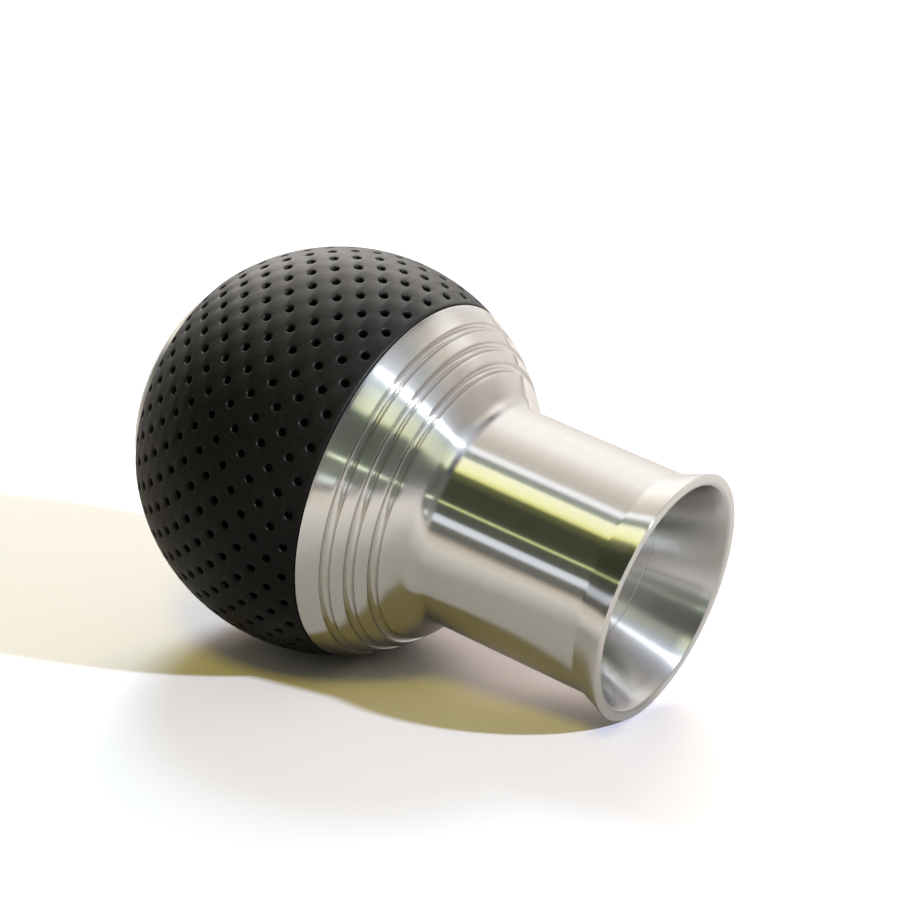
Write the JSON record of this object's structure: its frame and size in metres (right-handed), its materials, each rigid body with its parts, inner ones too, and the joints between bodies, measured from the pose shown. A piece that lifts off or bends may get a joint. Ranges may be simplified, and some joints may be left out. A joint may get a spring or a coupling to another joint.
{
  "type": "gear shift knob",
  "caption": "Ball gear knob: perforated black leather on a moulded core under a plain metal cap, set on a turned steel base with a grooved collar, straight neck and flared funnel mouth.",
  "frame": {"origin": "centre of the flat rim round the mouth, which the knob stands on", "axes": "+Z along the lever's axis from the mouth to the top of the ball; X and Y are equal"},
  "size_m": [0.055, 0.055, 0.0789],
  "materials": {
    "turned_steel": "bright turned, fine lines round the axis",
    "perforated_leather": "smooth black leather with fine grain and punched holes",
    "core_plastic": "moulded, matt",
    "insert_brass": "machined",
    "cap_steel": "fine turned"
  },
  "bodies": {
    "root": {"steel_base": "turned_steel", "leather_cover": "perforated_leather", "ball_core": "core_plastic", "threaded_insert": "insert_brass", "top_cap": "cap_steel"}
  },
  "joints": []
}
